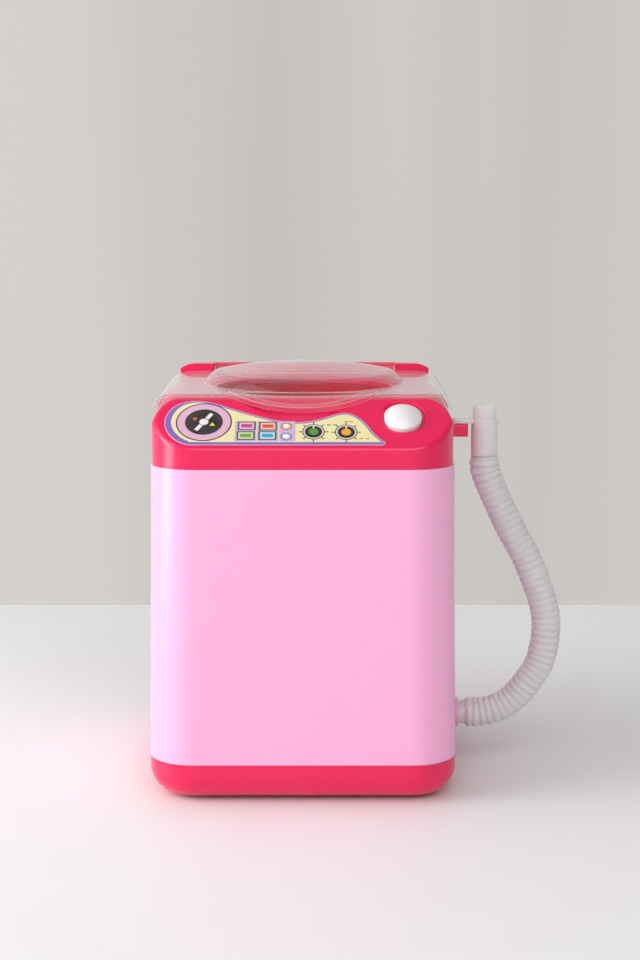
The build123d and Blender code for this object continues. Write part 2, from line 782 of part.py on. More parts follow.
with BuildPart() as pulsator_screw:
    with BuildSketch(Plane.XY.offset(disc_low + 1.6)):
        with Locations(output_xy):
            Circle(0.9)
    extrude(amount=8)
    with BuildSketch(Plane.XY.offset(disc_low + 9.55)):
        with Locations(output_xy):
            Circle(2.3)
    extrude(amount=1.3)
    with BuildSketch(Plane.XY.offset(disc_low + 10.2)):
        with Locations(output_xy):
            Rectangle(3.2, 0.5)
            Rectangle(0.5, 3.2)
    extrude(amount=1, mode=Mode.SUBTRACT)
save(pulsator_screw, "pulsator_screw")


def ring(centre, outer, inner, low, height):
    """A plain ring around a vertical axis."""
    with BuildPart() as band:
        with BuildSketch(Plane.XY.offset(low)):
            with Locations(centre):
                Circle(outer)
                Circle(inner, mode=Mode.SUBTRACT)
        extrude(amount=height)
    return band.part


with BuildPart() as shaft_bush:
    add(ring(output_xy, 3.0, shaft_r + run, tub_floor - 3.5, 3.6))
save(shaft_bush, "shaft_bush")

with BuildPart() as shaft_seal:
    add(ring(output_xy, 3.0, shaft_r + 0.02, tub_floor + 0.2, 1.3))
save(shaft_seal, "shaft_seal")

# ---------------------------------------------------------------- gear train
mesh_turn = 180 / big_teeth     # half a tooth of a big wheel

with BuildPart() as output_gear:
    with BuildSketch(Plane.XY.offset(gear_high)):
        with Locations(output_xy):
            Polygon(*gear_points(big_teeth), rotation=mesh_turn, align=None)
            Circle(shaft_r + 0.01, mode=Mode.SUBTRACT)
            with PolarLocations(5.6, 4):
                Circle(1.6, mode=Mode.SUBTRACT)
    extrude(amount=gear_w)
    add(ring(output_xy, 2.4, shaft_r + 0.01, gear_high - 1.2, gear_w + 2.2))
save(output_gear, "output_gear")

with BuildPart() as idler_gear:
    with BuildSketch(Plane.XY.offset(gear_low)):
        with Locations(idler_xy):
            Polygon(*gear_points(big_teeth), align=None)
    extrude(amount=gear_w)
    with BuildSketch(Plane.XY.offset(gear_low + gear_w)):
        with Locations(idler_xy):
            Polygon(*gear_points(small_teeth), align=None)
    extrude(amount=gear_high + gear_w - gear_low - gear_w)
    with BuildSketch(Plane.XY.offset(gear_low)):
        with Locations(idler_xy):
            Circle(1.0 + run)
    extrude(amount=10, mode=Mode.SUBTRACT)
save(idler_gear, "idler_gear")

with BuildPart() as idler_axle:
    with BuildSketch(Plane.XY.offset(gearbox_floor - 1.5)):
        with Locations(idler_xy):
            Circle(1.0)
    extrude(amount=gearbox_roof - 1 - gearbox_floor + 1.5)
save(idler_axle, "idler_axle")

with BuildPart() as motor_pinion:
    with BuildSketch(Plane.XY.offset(gear_low - 0.2)):
        with Locations(motor_xy):
            Polygon(*gear_points(pinion_teeth), rotation=180 / pinion_teeth, align=None)
            Circle(0.96, mode=Mode.SUBTRACT)
    extrude(amount=gear_w + 0.4)
save(motor_pinion, "motor_pinion")

# ---------------------------------------------------------------- gearbox
gearbox_x = 46.0
gearbox_y = 27.0
gearbox_mid = (-9.5, axis_y)

with BuildPart() as gearbox_base:
    with BuildSketch(Plane.XY.offset(gearbox_floor)):
        with Locations(gearbox_mid):
            RectangleRounded(gearbox_x, gearbox_y, 4)
        with Locations(*ear_points):
            Circle(3.2)
    extrude(amount=2)
    with BuildSketch(Plane.XY.offset(gearbox_floor - 2)):
        with Locations(output_xy, idler_xy):
            Circle(3)
    extrude(amount=3)
    with BuildSketch(Plane.XY.offset(gearbox_floor - 1.7)):
        with Locations(output_xy):
            Circle(shaft_r + run)
        with Locations(idler_xy):
            Circle(1.02)
    extrude(amount=6, mode=Mode.SUBTRACT)
    with BuildSketch(Plane.XY.offset(gearbox_floor - 3)):
        with Locations(motor_xy):
            Circle(3.1)
        with Locations(*ear_points):
            Circle(1.1)
    extrude(amount=8, mode=Mode.SUBTRACT)
save(gearbox_base, "gearbox_base")

with BuildPart() as gearbox_cover:
    with BuildSketch(Plane.XY.offset(gearbox_floor + 2.02)):
        with Locations(gearbox_mid):
            RectangleRounded(gearbox_x, gearbox_y, 4)
        with Locations(*ear_points):
            Circle(3.2)
    extrude(amount=gearbox_roof - gearbox_floor - 2.02)
    with BuildSketch(Plane.XY.offset(gearbox_floor + 1)):
        with Locations(gearbox_mid):
            RectangleRounded(gearbox_x - 3, gearbox_y - 3, 2.5)
    extrude(amount=gearbox_roof - gearbox_floor - 2.5, mode=Mode.SUBTRACT)
    with BuildSketch(Plane.XY.offset(gearbox_floor)):
        with Locations(*ear_points):
            Circle(1.1)
        with Locations(output_xy):
            Circle(shaft_r + 0.3)
        with Locations(idler_xy):
            Circle(1.02)
    extrude(amount=20, mode=Mode.SUBTRACT)
save(gearbox_cover, "gearbox_cover")

# ---------------------------------------------------------------- motor
can_r = 10.0
can_flat = 15.1                 # across the can's two flats
terminal_points = [(motor_xy[0] - 4.5, axis_y), (motor_xy[0] + 4.5, axis_y)]


def can_slice(low, height, shrink):
    """A round disc with two flat sides, as wide as the motor less twice the shrink."""
    with BuildPart() as slice_part:
        with BuildSketch(Plane.XY.offset(low)):
            with Locations(motor_xy):
                Circle(can_r - shrink)
                Rectangle(can_flat - 2 * shrink, 3 * can_r, mode=Mode.INTERSECT)
        extrude(amount=height)
    return slice_part.part


with BuildPart() as motor_can:
    add(can_slice(motor_top - motor_len, motor_len, 0))
    with BuildSketch(Plane.XY.offset(motor_top)):
        with Locations(motor_xy):
            Circle(3.0)
    extrude(amount=1.4)
    add(can_slice(motor_top - motor_len, motor_len - 0.8, 0.8), mode=Mode.SUBTRACT)
    with BuildSketch(Plane.XY.offset(motor_top - 2)):
        with Locations(motor_xy):
            Circle(1.0 + run)
    extrude(amount=5, mode=Mode.SUBTRACT)
save(motor_can, "motor_can")

with BuildPart() as motor_end_cap:
    add(can_slice(motor_top - motor_len - 2, 1.9, 0))
    add(can_slice(motor_top - motor_len - 0.2, 2.2, 0.9))
    with BuildSketch(Plane.XY.offset(motor_top - motor_len - 3.5)):
        with Locations(motor_xy):
            Circle(3.2)
    extrude(amount=2)
    with BuildSketch(Plane.XY.offset(motor_top - motor_len - 2.8)):
        with Locations(motor_xy):
            Circle(1.0 + run)
    extrude(amount=10, mode=Mode.SUBTRACT)
    with BuildSketch(Plane.XY.offset(motor_top - motor_len - 3)):
        with Locations(*terminal_points):
            Rectangle(0.5, 2.2)
    extrude(amount=10, mode=Mode.SUBTRACT)
save(motor_end_cap, "motor_end_cap")

with BuildPart() as motor_terminals:
    with BuildSketch(Plane.XY.offset(motor_top - motor_len - 3)):
        with Locations(*terminal_points):
            Rectangle(0.46, 2.1)
    extrude(amount=6)
save(motor_terminals, "motor_terminals")

with BuildPart() as motor_magnets:
    add(ring(motor_xy, 9.1, 7.6, motor_top - 17, 14))
    with BuildSketch(Plane.XY.offset(motor_top - 18)):
        with Locations(motor_xy):
            Rectangle(2 * can_r + 2, 9)
    extrude(amount=16, mode=Mode.SUBTRACT)
    add(can_slice(motor_top - 18, 16, 0.9), mode=Mode.INTERSECT)
save(motor_magnets, "motor_magnets")

with BuildPart() as motor_armature:
    with BuildSketch(Plane.XY.offset(motor_top - 15)):
        with Locations(motor_xy):
            Circle(6.2)
            with PolarLocations(5.0, 3):
                Rectangle(3.4, 1.2, mode=Mode.SUBTRACT)
            Circle(1.01, mode=Mode.SUBTRACT)
    extrude(amount=10)
    add(ring(motor_xy, 2.4, 1.01, motor_top - 18.5, 3.5))
save(motor_armature, "motor_armature")

with BuildPart() as motor_shaft:
    with BuildSketch(Plane.XY.offset(motor_top - motor_len - 2.6)):
        with Locations(motor_xy):
            Circle(0.95)
    extrude(amount=gear_low + gear_w + 0.6 - motor_top + motor_len + 2.6)
save(motor_shaft, "motor_shaft")

# ---------------------------------------------------------------- start button and switch
with BuildPart() as push_button:
    with BuildSketch(button_plane.offset(-3.2)):
        Circle(6.95)
    extrude(amount=1.1)
    with BuildSketch(button_plane.offset(-3.2)):
        Circle(button_r)
    extrude(amount=4.4)
    # domed cap: radius set by its width and a rise of 2.4
    cap_rise = 2.4
    with BuildSketch(Plane(origin=button_plane.origin, x_dir=(1, 0, 0), z_dir=button_plane.y_dir)):
        with BuildLine():
            ThreePointArc((-button_r, -1.2), (0, -1.2 - cap_rise), (button_r, -1.2))
            Line((button_r, -1.2), (-button_r, -1.2))
        make_face()
        with Locations((-button_r, 0)):
            Rectangle(2 * button_r, 20, mode=Mode.SUBTRACT)
    revolve(axis=Axis(button_plane.origin, button_plane.z_dir))
    with BuildSketch(button_plane.offset(-3.2)):
        Circle(5.2)
        Circle(1.6, mode=Mode.SUBTRACT)
    extrude(amount=2.6, mode=Mode.SUBTRACT)
save(push_button, "push_button")

with BuildPart() as switch_plunger:
    with BuildSketch(button_plane.offset(-9.8)):
        Circle(1.2)
    extrude(amount=6.5)
save(switch_plunger, "switch_plunger")

spring_r = 4.2
with BuildPart() as button_spring:
    with BuildLine() as coil:
        spring_foot = button_plane.offset(-8.9).origin
        Helix(pitch=1.45, height=7.9, radius=spring_r, center=spring_foot, direction=button_plane.z_dir)
    with BuildSketch(Plane(origin=coil.line @ 0, z_dir=coil.line % 0)):
        Circle(0.25)
    sweep(path=coil.line)
save(button_spring, "button_spring")

with BuildPart() as switch_body:
    with BuildSketch(button_plane.offset(-10.8)):
        RectangleRounded(24, 10, 2)
    extrude(amount=1.5)
    with BuildSketch(button_plane.offset(-17)):
        RectangleRounded(11, 8.5, 0.6)
    extrude(amount=6.4)
    with BuildSketch(button_plane.offset(-13.5)):
        Circle(1.3)
    extrude(amount=6, mode=Mode.SUBTRACT)
    with BuildSketch(button_plane.offset(-12)):
        with Locations((-pillar_x, 0), (pillar_x, 0)):
            Circle(1.1)
    extrude(amount=4, mode=Mode.SUBTRACT)
save(switch_body, "switch_body")

with BuildPart() as switch_screws:
    with BuildSketch(button_plane.offset(-12.2)):
        with Locations((-pillar_x, 0), (pillar_x, 0)):
            Circle(1.8)
    extrude(amount=1.3)
    with BuildSketch(button_plane.offset(-12.2)):
        with Locations((-pillar_x, 0), (pillar_x, 0)):
            Circle(0.85)
    extrude(amount=7.6)
save(switch_screws, "switch_screws")

# ---------------------------------------------------------------- control sticker
sticker_t = 0.12
with BuildPart() as control_sticker:
    with BuildSketch(panel_plane.offset(0.01)):
        with BuildLine():
            Spline(
                (-36.5, 1.6), (-43.2, 6.6), (-44.8, 14.5), (-40.5, 21.6), (-33.5, 22.9),
                (-24.9, 20.0), (-12.0, 14.6), (-1.5, 12.5), (7.0, 14.6), (14.8, 16.9),
                (19.4, 13.6), (22.6, 8.2), (26.5, 3.2),
            )
            ThreePointArc((26.5, 3.2), (26.6, 2.1), (25.4, 1.6))
            Line((25.4, 1.6), (-36.5, 1.6))
        make_face()
    extrude(amount=sticker_t)
save(control_sticker, "control_sticker")

# ---------------------------------------------------------------- drain
with BuildPart() as drain_spout:
    with BuildSketch(Plane(origin=(0, peg_y, spout_z), x_dir=(1, 0, 0), z_dir=(0, -1, 0))):
        with BuildLine():
            Polyline(
                (46.2, hose_bore - 0.5),
                (46.2, 4.9),
                (49.0, 4.9),
                (49.0, 4.1),
                (spout_x, 4.1),
                (spout_x, 4.5),
                (spout_x + 2.1, 5.1),
                (spout_x + 2.4, 5.1),
                (spout_x + 2.4, hose_bore + 1.1),
                (spout_x + 0.4, hose_bore + 1.1),
                (spout_x + 0.4, hose_bore - 0.5),
                close=True,
            )
        make_face()
    revolve(axis=Axis((0, peg_y, spout_z), (1, 0, 0)))
save(drain_spout, "drain_spout")

with BuildPart() as drain_tube:
    with BuildLine() as tube_path:
        Line((*drain_xy, tub_floor - 2.2), (*drain_xy, tub_floor - 7))
        Bezier(
            (*drain_xy, tub_floor - 7),
            (*drain_xy, 40),
            (38, peg_y, spout_z),
            (46.0, peg_y, spout_z),
        )
    with BuildSketch(Plane(origin=tube_path.line @ 0, z_dir=tube_path.line % 0)):
        Circle(3.0)
        Circle(2.1, mode=Mode.SUBTRACT)
    sweep(path=tube_path.line)
save(drain_tube, "drain_tube")

hose_end = spout_x + 0.6
hose_points = [(65.7, 97), (77.2, 74.5), (84.3, 50.1), (80.1, 33.6), (68.5, 21.7)]
with BuildPart() as drain_hose:
    with BuildLine() as hose_path:
        Spline(
            (cuff_x, peg_y, cuff_low - 0.1),
            *[(x, peg_y, z) for x, z in hose_points],
            (hose_end + 2.6, peg_y, spout_z),
            tangents=((0, 0, -1), (-1, 0, 0)),
        )
    with BuildSketch(Plane(origin=hose_path.line @ 0, z_dir=hose_path.line % 0)):
        Circle(hose_r - 0.3)
        Circle(hose_bore, mode=Mode.SUBTRACT)
    sweep(path=hose_path.line)
    with BuildSketch(Plane(origin=(hose_end, peg_y, spout_z), z_dir=(1, 0, 0))):
        Circle(hose_bore + 1.0)
        Circle(hose_bore - 0.4, mode=Mode.SUBTRACT)
    extrude(amount=2.7)
save(drain_hose, "drain_hose")

with BuildPart() as hose_outlet_cuff:
    with BuildSketch(Plane.XY.offset(cuff_low)):
        with Locations((cuff_x, peg_y)):
            Circle(cuff_r)
    extrude(amount=tab_z - cuff_low)
    with BuildSketch(Plane.XY.offset(tab_z)):
        with Locations((cuff_x, peg_y)):
            Circle(cuff_tip_r)
    extrude(amount=cuff_top - tab_z)
    # the tab reaches to the cover, over the peg
    with BuildSketch(Plane.XY.offset(tab_z)):
        with Locations((cuff_x, peg_y)):
            Circle(cuff_r + 0.1)
        with Locations(((tab_end + cuff_x) / 2, peg_y)):
            Rectangle(cuff_x - tab_end, 5)
    extrude(amount=1.3)
    with BuildSketch(Plane.XY.offset(cuff_low)):
        with Locations((cuff_x, peg_y)):
            Circle(hose_bore)
    extrude(amount=cuff_top - cuff_low, mode=Mode.SUBTRACT)
save(hose_outlet_cuff, "hose_outlet_cuff")

# ---------------------------------------------------------------- wires
wire_r = 0.55
switch_left = tuple(button_plane.from_local_coords((-2.5, 0, -17.7)))
switch_right = tuple(button_plane.from_local_coords((2.5, 0, -17.7)))
wire_routes = [
    # battery to motor, battery to switch, switch to motor
    [(-25, 8, 18.4), (-25, 8, 19.9), (-27, 7.4, 20.6), (-28, axis_y, 21.2)],
    [(25, 8, 18.4), (25, 8, 20), (34, 0, 26), (41, -15, 45), (42, -28, 75), (38, -29, 98), switch_right],
    [
        switch_left, (29, -30, 98), (20, -40, 80), (-5, -42, 55), (-22, -36, 35),
        (-20, -20, 24), (-18.6, -3, 20.7), (-18.8, 4.5, 20.6), (-19, axis_y, 21.1),
    ],
]
with BuildPart() as wires:
    for route in wire_routes:
        with BuildLine() as wire_path:
            Spline(*route)
        with BuildSketch(Plane(origin=wire_path.line @ 0, z_dir=wire_path.line % 0)):
            Circle(wire_r)
        sweep(path=wire_path.line)
save(wires, "wires")
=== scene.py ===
import json
import math
import random

import bmesh
import bpy
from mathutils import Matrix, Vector
from mathutils.geometry import tessellate_polygon

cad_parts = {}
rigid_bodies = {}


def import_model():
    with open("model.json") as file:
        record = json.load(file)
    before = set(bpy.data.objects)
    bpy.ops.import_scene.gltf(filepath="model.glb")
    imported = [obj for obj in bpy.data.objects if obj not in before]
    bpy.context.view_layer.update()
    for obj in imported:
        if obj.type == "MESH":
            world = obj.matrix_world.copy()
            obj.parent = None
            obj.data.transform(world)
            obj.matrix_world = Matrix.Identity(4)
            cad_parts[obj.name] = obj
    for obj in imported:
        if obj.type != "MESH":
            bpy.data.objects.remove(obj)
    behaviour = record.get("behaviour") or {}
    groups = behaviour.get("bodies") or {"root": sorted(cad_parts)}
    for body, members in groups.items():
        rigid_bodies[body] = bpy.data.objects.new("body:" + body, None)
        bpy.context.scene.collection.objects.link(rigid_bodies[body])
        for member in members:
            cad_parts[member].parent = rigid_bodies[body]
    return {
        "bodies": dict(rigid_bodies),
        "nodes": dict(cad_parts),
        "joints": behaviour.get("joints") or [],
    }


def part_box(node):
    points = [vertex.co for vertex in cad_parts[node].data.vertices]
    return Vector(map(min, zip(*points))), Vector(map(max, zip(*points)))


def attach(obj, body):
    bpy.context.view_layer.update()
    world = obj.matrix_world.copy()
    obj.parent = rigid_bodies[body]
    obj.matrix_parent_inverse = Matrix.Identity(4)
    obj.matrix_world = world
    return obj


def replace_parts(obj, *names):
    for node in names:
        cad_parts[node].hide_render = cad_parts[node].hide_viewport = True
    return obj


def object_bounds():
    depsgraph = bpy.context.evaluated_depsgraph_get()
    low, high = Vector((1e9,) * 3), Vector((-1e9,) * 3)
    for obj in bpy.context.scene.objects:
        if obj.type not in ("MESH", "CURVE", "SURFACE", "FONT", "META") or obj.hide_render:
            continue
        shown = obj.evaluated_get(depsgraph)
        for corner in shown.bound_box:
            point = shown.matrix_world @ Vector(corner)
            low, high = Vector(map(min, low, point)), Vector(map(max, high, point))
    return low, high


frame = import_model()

# Toy washing machine that cleans make-up brushes: looks, light and camera.
# Everything is in metres in the CAD frame; sizes written in millimetres are multiplied by MM.
MM = 0.001

framed = [*frame["nodes"].values(), *frame["bodies"].values()]
for leftover in [o for o in bpy.data.objects if o not in framed]:
    bpy.data.objects.remove(leftover)
cad_low, cad_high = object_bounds()
nodes = frame["nodes"]


# ---------------------------------------------------------------- materials
def srgb(red, green, blue):
    """A screen colour, 0 to 255, as the linear colour that nodes take."""
    channels = [value / 255 for value in (red, green, blue)]
    return tuple(c / 12.92 if c <= 0.04045 else ((c + 0.055) / 1.055) ** 2.4 for c in channels) + (1.0,)


def scaled(color, factor):
    """The colour made lighter or darker."""
    return tuple(min(1.0, c * factor) for c in color[:3]) + (1.0,)


class Finish:
    """A material built round one Principled shader, with short calls for the nodes that drive it."""

    def __init__(self, name):
        self.material = bpy.data.materials.new(name)
        self.material.use_nodes = True
        self.tree = self.material.node_tree
        self.shader = self.tree.nodes["Principled BSDF"]
        self.place = self.node("ShaderNodeTexCoord").outputs["Object"]

    def node(self, kind, settings=None, **inputs):
        made = self.tree.nodes.new(kind)
        for name, value in (settings or {}).items():
            setattr(made, name, value)
        for name, value in inputs.items():
            self.feed(made.inputs[name.replace("_", " ")], value)
        return made

    def feed(self, socket, value):
        if isinstance(value, bpy.types.NodeSocket):
            self.tree.links.new(value, socket)
        else:
            socket.default_value = value

    def set(self, **inputs):
        """Sets or drives inputs of the Principled shader."""
        for name, value in inputs.items():
            self.feed(self.shader.inputs[name.replace("_", " ")], value)

    def noise(self, scale, detail=3.0, stretch=None):
        place = self.place
        if stretch:
            place = self.node("ShaderNodeMapping", Vector=place, Scale=stretch).outputs["Vector"]
        return self.node("ShaderNodeTexNoise", Vector=place, Scale=scale, Detail=detail).outputs["Fac"]

    def spread(self, value, low, high, start=0.3, end=0.7):
        """Eases from low to high while the value goes from start to end."""
        ramp = self.node("ShaderNodeMapRange", {"interpolation_type": "SMOOTHSTEP"}, Value=value)
        limits = {"From Min": start, "From Max": end, "To Min": low, "To Max": high}
        for name, limit in limits.items():
            self.feed(ramp.inputs[name], limit)
        return ramp.outputs["Result"]

    def mix(self, factor, first, second):
        """Blends two colours."""
        made = self.node("ShaderNodeMix", {"data_type": "RGBA"})
        colors = [socket for socket in made.inputs if socket.type == "RGBA"]
        self.feed(made.inputs[0], factor)
        self.feed(colors[0], first)
        self.feed(colors[1], second)
        return next(socket for socket in made.outputs if socket.type == "RGBA")

    def math(self, operation, first, second=0.0):
        made = self.node("ShaderNodeMath", {"operation": operation})
        self.feed(made.inputs[0], first)
        self.feed(made.inputs[1], second)
        return made.outputs[0]

    def relief(self, height, depth, normal=None):
        """Shading normal for bumps of this depth."""
        bump = self.node("ShaderNodeBump", Height=height, Distance=depth, Strength=1.0)
        if normal is not None:
            self.feed(bump.inputs["Normal"], normal)
        return bump.outputs["Normal"]

    def rounded(self, radius):
        """Shading normal that rounds sharp edges by this radius."""
        return self.node("ShaderNodeBevel", {"samples": 4}, Radius=radius).outputs["Normal"]

    def edges(self, rounded_normal):
        """0 on open faces, rising to 1 along edges."""
        flat = self.node("ShaderNodeNewGeometry").outputs["Normal"]
        dot = self.node("ShaderNodeVectorMath", {"operation": "DOT_PRODUCT"})
        self.feed(dot.inputs[0], rounded_normal)
        self.feed(dot.inputs[1], flat)
        return self.spread(dot.outputs["Value"], 1.0, 0.0, start=0.80, end=0.99)

    def blend(self, factor, first, second):
        """Mixes two shaders; the factor is the share of the second."""
        both = self.node("ShaderNodeMixShader", Fac=factor)
        self.feed(both.inputs[1], first.outputs[0])
        self.feed(both.inputs[2], second.outputs[0])
        return both

    def show(self, shader):
        self.feed(self.tree.nodes["Material Output"].inputs["Surface"], shader.outputs[0])

    def front_only(self, shader):
        """Gives the front faces this shader and makes the back faces vanish."""
        behind = self.node("ShaderNodeNewGeometry").outputs["Backfacing"]
        self.show(self.blend(behind, shader, self.node("ShaderNodeBsdfTransparent")))

    def scratches(self, scale, stretch):
        """Thin lines along one direction, 0 to 1."""
        streaks = self.noise(scale, 2.0, stretch)
        return self.spread(streaks, 0.0, 1.0, start=0.70, end=0.75)


GRAIN_DEPTH = 0.0015 * MM


def moulded_plastic(name, color, roughness=0.3, soft=0.12, edge=0.2):
    """Injection-moulded plastic: specks of pigment, fine grain and lighter, rubbed edges."""
    finish = Finish(name)
    rounded = finish.rounded(0.35 * MM)
    speckle = finish.noise(2600.0, 1.0)
    pigment = finish.mix(finish.spread(speckle, 0.0, 0.03), color, scaled(color, 0.7))
    wear = finish.math("MULTIPLY", finish.edges(rounded), finish.spread(finish.noise(160.0, 5.0), 0.0, edge))
    pale = tuple(0.55 * c + 0.45 for c in color[:3]) + (1.0,)
    finish.set(Base_Color=finish.mix(wear, pigment, pale), Roughness=roughness)
    finish.set(Normal=finish.relief(finish.noise(900.0, 3.0), GRAIN_DEPTH, rounded))
    finish.set(Subsurface_Weight=soft, Subsurface_Scale=2.0 * MM, Subsurface_Radius=(1.0, 0.45, 0.55))
    finish.set(Coat_Weight=0.35, Coat_Roughness=0.16, IOR=1.45)
    return finish.material


LID_IOR = 1.46


def clear_plastic(name):
    """Thin clear cover: see-through face on, mirror-like and milky at grazing angles, the milkiness partly
    haze and partly painted sheen, with painted white highlights on edges.
    """
    finish = Finish(name)
    rounded = finish.rounded(0.45 * MM)
    waves = finish.relief(finish.noise(90.0, 2.0), 0.02 * MM, rounded)
    clear = finish.node("ShaderNodeBsdfTransparent", Color=(0.99, 0.985, 0.985, 1.0))
    polish = finish.spread(finish.noise(70.0, 5.0), 0.03, 0.12)
    shine = finish.node("ShaderNodeBsdfAnisotropic", Normal=waves, Roughness=polish)
    # only the outer face mirrors, so that the thin sheet doesn't darken what is behind it
    outside = finish.math("SUBTRACT", 1.0, finish.node("ShaderNodeNewGeometry").outputs["Backfacing"])
    mirror = finish.node("ShaderNodeFresnel", IOR=LID_IOR, Normal=waves).outputs[0]
    surface = finish.blend(finish.math("MULTIPLY", outside, mirror), clear, shine)
    milk = finish.mix(finish.noise(300.0), srgb(244, 240, 243), srgb(253, 250, 252))
    finish.set(Base_Color=milk, Normal=waves, Roughness=0.3, IOR=1.3)
    finish.set(Subsurface_Weight=0.3, Subsurface_Scale=2.0 * MM)
    # milky white layer: a little haze everywhere, more at grazing angles where it is partly painted sheen,
    # plus faint hairline scratches
    grazing = finish.math("POWER", finish.node("ShaderNodeLayerWeight", Blend=0.5).outputs["Facing"], 4.0)
    milk_haze_and_painted_shine = finish.math("ADD", finish.math("MULTIPLY", grazing, 0.24), 0.02)
    # painted white highlight along the lid's rounded edges
    rim = finish.math("MULTIPLY", finish.edges(rounded), 0.85)
    hairlines = finish.math("MULTIPLY", finish.scratches(500.0, (1.0, 0.08, 1.0)), 0.1)
    milk_haze_and_painted_shine = finish.math("ADD", milk_haze_and_painted_shine, finish.math("MAXIMUM", rim, hairlines))
    finish.show(finish.blend(milk_haze_and_painted_shine, surface, finish.shader))
    return finish.material


def milky_hose(name, color):
    """Translucent soft plastic that takes on the light and colour behind it."""
    finish = Finish(name)
    clouds = finish.spread(finish.noise(90.0, 1.0), 0.0, 1.0, 0.1, 0.9)
    finish.set(Base_Color=finish.mix(clouds, scaled(color, 0.97), scaled(color, 1.03)), Roughness=0.38)
    finish.set(Normal=finish.relief(finish.noise(1500.0, 2.0), 0.003 * MM))
    finish.set(Subsurface_Weight=0.75, Subsurface_Scale=3.0 * MM, Subsurface_Radius=(1.0, 0.9, 0.95))
    finish.set(Transmission_Weight=0.18, IOR=1.42, Coat_Weight=0.15, Coat_Roughness=0.25)
    return finish.material


def printed_ink(name, color, roughness=0.32):
    """Ink on the label: tiny print grain under a satin film."""
    finish = Finish(name)
    dots = finish.node("ShaderNodeTexVoronoi", Vector=finish.place, Scale=5200.0).outputs["Distance"]
    ink = finish.mix(finish.spread(dots, 0.0, 0.35, start=0.1, end=0.8), color, scaled(color, 0.82))
    fade = finish.spread(finish.noise(130.0, 3.0), 0.0, 0.025)
    finish.set(Base_Color=finish.mix(fade, ink, srgb(245, 240, 232)))
    finish.set(Roughness=finish.spread(finish.noise(210.0, 3.0), roughness - 0.05, roughness + 0.07))
    finish.set(Normal=finish.relief(finish.noise(700.0, 3.0), 0.004 * MM))
    finish.set(Coat_Weight=0.2, Coat_Roughness=0.18)
    return finish.material


def brushed_metal(name, color, roughness=0.3):
    """Plain metal with drawn lines, uneven polish and darker stains."""
    finish = Finish(name)
    lines = finish.noise(700.0, 3.0, (1.0, 1.0, 0.05))
    stains = finish.spread(finish.noise(140.0, 5.0), 0.0, 0.5)
    finish.set(Base_Color=finish.mix(stains, color, scaled(color, 0.6)), Metallic=1.0)
    finish.set(Roughness=finish.spread(lines, roughness - 0.08, roughness + 0.12))
    finish.set(Normal=finish.relief(lines, 0.006 * MM, finish.rounded(0.1 * MM)))
    return finish.material


def dull_rubber(name, color):
    """Matt rubber with a coarse skin and patches of dust."""
    finish = Finish(name)
    skin = finish.noise(1300.0, 4.0)
    dust = finish.spread(finish.noise(200.0, 5.0), 0.0, 0.25)
    finish.set(Base_Color=finish.mix(dust, color, srgb(120, 112, 110)))
    finish.set(Roughness=finish.spread(skin, 0.62, 0.85))
    finish.set(Normal=finish.relief(skin, 0.03 * MM, finish.rounded(0.2 * MM)))
    return finish.material


def sintered_ferrite(name, color):
    """Dark magnet and core material with a coarse, sparkling grain."""
    finish = Finish(name)
    grains = finish.node("ShaderNodeTexVoronoi", Vector=finish.place, Scale=2400.0).outputs["Distance"]
    finish.set(Base_Color=finish.mix(finish.spread(grains, 0.0, 1.0, 0.0, 0.6), color, scaled(color, 2.2)))
    finish.set(Roughness=finish.spread(finish.noise(500.0), 0.45, 0.7), Metallic=0.35)
    finish.set(Normal=finish.relief(grains, 0.02 * MM))
    return finish.material


COPPER_START = 11.0 * MM    # x where the copper-coloured end begins


def cell_jacket(name):
    """Battery wrapper: black film with a copper-coloured end, slightly scuffed."""
    finish = Finish(name)
    along = finish.node("ShaderNodeSeparateXYZ", Vector=finish.place).outputs["X"]
    copper = finish.spread(along, 0.0, 1.0, COPPER_START, COPPER_START + 0.4 * MM)
    scuffs = finish.spread(finish.noise(260.0, 5.0), 0.0, 0.3)
    film = finish.mix(copper, srgb(28, 27, 30), srgb(196, 128, 74))
    finish.set(Base_Color=finish.mix(scuffs, film, srgb(150, 140, 130)))
    finish.set(Roughness=finish.spread(finish.noise(300.0), 0.22, 0.4), Coat_Weight=0.4)
    finish.set(Normal=finish.relief(finish.noise(600.0), 0.008 * MM))
    return finish.material


PINK = srgb(232, 8, 84)
PALE_PINK = srgb(250, 179, 219)
CRIMSON = srgb(214, 4, 50)
FINISHES = {
    "deep_pink": moulded_plastic("deep_pink_plastic", PINK, roughness=0.27),
    "light_pink": moulded_plastic("light_pink_plastic", PALE_PINK, soft=0.2),
    "crimson_plastic": moulded_plastic("crimson_tub_plastic", CRIMSON, roughness=0.24),
    "clear_plastic": clear_plastic("clear_lid_plastic"),
    "hose_plastic": milky_hose("milky_hose_plastic", srgb(246, 242, 245)),
    "white_plastic": moulded_plastic("white_button_plastic", srgb(232, 228, 229), roughness=0.26, soft=0.35),
    "cream_vinyl": printed_ink("label_edge_film", srgb(214, 204, 226)),
    "black_rubber": dull_rubber("black_foot_rubber", srgb(34, 32, 33)),
    "black_plastic": moulded_plastic("black_plastic", srgb(32, 31, 34), roughness=0.42, soft=0.0, edge=0.3),
    "grey_plastic": moulded_plastic("grey_plastic", srgb(150, 152, 156), roughness=0.45, soft=0.05),
    "nylon": moulded_plastic("nylon_gears", srgb(236, 233, 222), roughness=0.4, soft=0.3),
    "steel": brushed_metal("steel", srgb(190, 190, 194)),
    "nickel_steel": brushed_metal("nickel_steel", srgb(205, 200, 190), roughness=0.24),
    "brass": brushed_metal("brass", srgb(214, 170, 92)),
    "ferrite": sintered_ferrite("ferrite", srgb(48, 48, 52)),
    "cell_jacket": cell_jacket("battery_cell_jacket"),
    "wire_red": moulded_plastic("red_wire_insulation", srgb(200, 26, 30), roughness=0.35, soft=0.1),
}
for node in nodes.values():
    for slot in node.material_slots:
        slot.material = FINISHES[slot.material.name.split(".")[0]]


